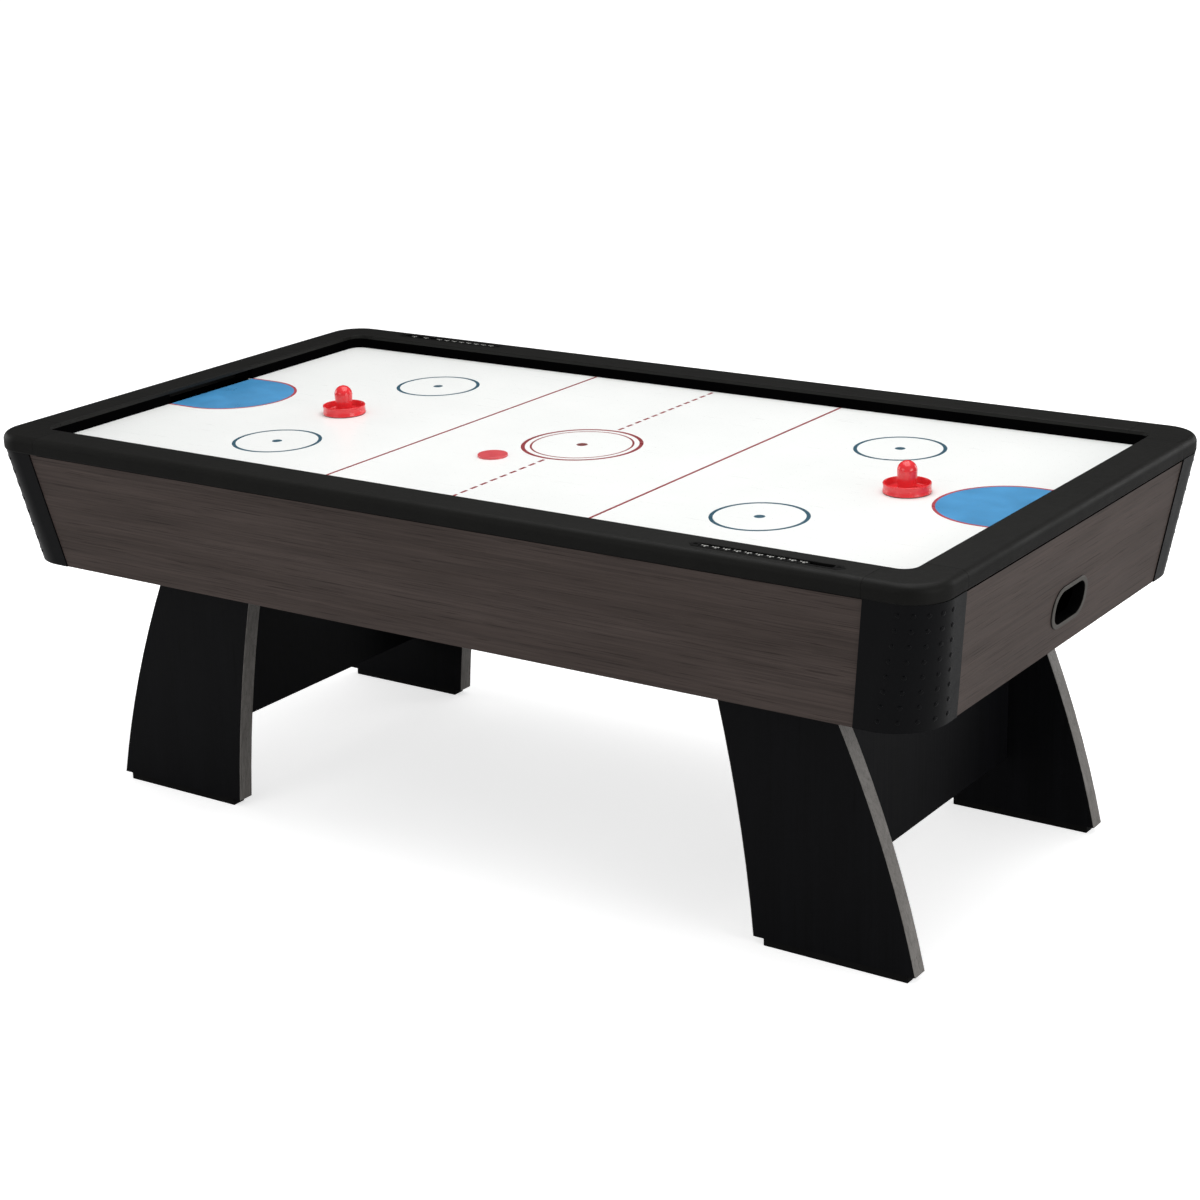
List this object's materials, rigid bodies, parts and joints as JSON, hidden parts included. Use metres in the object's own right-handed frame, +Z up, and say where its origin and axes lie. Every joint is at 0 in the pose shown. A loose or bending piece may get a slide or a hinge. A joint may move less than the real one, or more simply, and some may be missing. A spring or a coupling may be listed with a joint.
{
  "type": "air hockey table",
  "caption": "Full-size air hockey table with dark wood-grain aprons, black rail and corner caps, curved black panel legs, bead score counters, mallets and puck.",
  "frame": {"origin": "on the floor under the centre of the table", "axes": "+X along the length, towards the right end as seen from the front; +Y towards the back rail; +Z up"},
  "size_m": [2.286, 1.232, 0.8831],
  "materials": {
    "rail_black": "fine texture",
    "wall_black": "satin",
    "playing_white": "polished",
    "board_wood": "raw board",
    "apron_wood": "dark stained grain, satin",
    "corner_plastic": "satin",
    "black_plastic": "satin",
    "bead_black": "polished",
    "steel": "zinc plated",
    "leg_black": "black laminate",
    "leg_edge": "grey edge band, satin",
    "foot_black": "matte",
    "cable_black": "satin",
    "red_plastic": "gloss",
    "felt_dark": "felt"
  },
  "bodies": {
    "cabinet": {"air_grille": "black_plastic", "apron_back": "apron_wood", "apron_corner_back_left": "corner_plastic", "apron_corner_back_right": "corner_plastic", "apron_corner_front_left": "corner_plastic", "apron_corner_front_right": "corner_plastic", "apron_front": "apron_wood", "apron_left_end": "apron_wood", "apron_right_end": "apron_wood", "blower_housing": "black_plastic", "blower_motor": "steel", "cabinet_floor": "board_wood", "cabinet_screws": "steel", "cross_panel_left": "leg_black", "cross_panel_right": "leg_black", "foot_blocks": "foot_black", "frame_blocks": "board_wood", "leg_back_left": "leg_black", "leg_back_right": "leg_black", "leg_bolts": "steel", "leg_brackets": "steel", "leg_edging": "leg_edge", "leg_front_left": "leg_black", "leg_front_right": "leg_black", "playing_surface": "playing_white", "plenum_floor": "board_wood", "plenum_frame": "board_wood", "power_cable": "cable_black", "power_panel": "black_plastic", "puck_return_left": "black_plastic", "puck_return_right": "black_plastic", "puck_wall_back": "wall_black", "puck_wall_front": "wall_black", "puck_wall_left_end": "wall_black", "puck_wall_right_end": "wall_black", "rail_back": "rail_black", "rail_corner_back_left": "rail_black", "rail_corner_back_right": "rail_black", "rail_corner_front_left": "rail_black", "rail_corner_front_right": "rail_black", "rail_front": "rail_black", "rail_left_end": "rail_black", "rail_right_end": "rail_black", "return_bezel_left": "black_plastic", "return_bezel_right": "black_plastic", "score_rods": "steel", "score_tray_back": "black_plastic", "score_tray_front": "black_plastic"},
    "impeller": {"impeller": "black_plastic", "motor_shaft": "steel"},
    "power_rocker": {"power_rocker": "black_plastic"},
    "front_beads": {"score_beads_front": "bead_black"},
    "back_bead_1": {"score_bead_back_1": "bead_black"},
    "back_bead_2": {"score_bead_back_2": "bead_black"},
    "back_beads": {"score_beads_back": "bead_black"},
    "puck": {"puck": "red_plastic"},
    "mallet_right": {"mallet_right": "red_plastic", "mallet_right_felt": "felt_dark"},
    "mallet_left": {"mallet_left": "red_plastic", "mallet_left_felt": "felt_dark"}
  },
  "joints": [
    {"name": "impeller_spin", "type": "hinge", "parent": "cabinet", "child": "impeller", "pos_m": [0, 0, 0.68], "axis": [0, 0, 1], "continuous": true},
    {"name": "rocker_tip", "type": "hinge", "parent": "cabinet", "child": "power_rocker", "pos_m": [-0.32, 0.48, 0.576], "axis": [0, 1, 0], "range_deg": [0, 16]},
    {"name": "front_beads_slide", "type": "slide", "parent": "cabinet", "child": "front_beads", "axis": [1, 0, 0], "range_m": [0, 0.0488]},
    {"name": "back_bead_1_slide", "type": "slide", "parent": "cabinet", "child": "back_bead_1", "axis": [1, 0, 0], "range_m": [-0.015, 0.0135]},
    {"name": "back_bead_2_slide", "type": "slide", "parent": "cabinet", "child": "back_bead_2", "axis": [1, 0, 0], "range_m": [-0.0135, 0.0195]},
    {"name": "back_beads_slide", "type": "slide", "parent": "cabinet", "child": "back_beads", "axis": [1, 0, 0], "range_m": [-0.0195, 0]},
    {"name": "puck_glide", "type": "slide", "parent": "cabinet", "child": "puck", "axis": [1, 0, 0], "range_m": [-0.91, 1.135]},
    {"name": "mallet_right_push", "type": "slide", "parent": "cabinet", "child": "mallet_right", "axis": [0, 1, 0], "range_m": [-0.478, 0.482]},
    {"name": "mallet_left_push", "type": "slide", "parent": "cabinet", "child": "mallet_left", "axis": [0, 1, 0], "range_m": [-0.457, 0.503]}
  ]
}
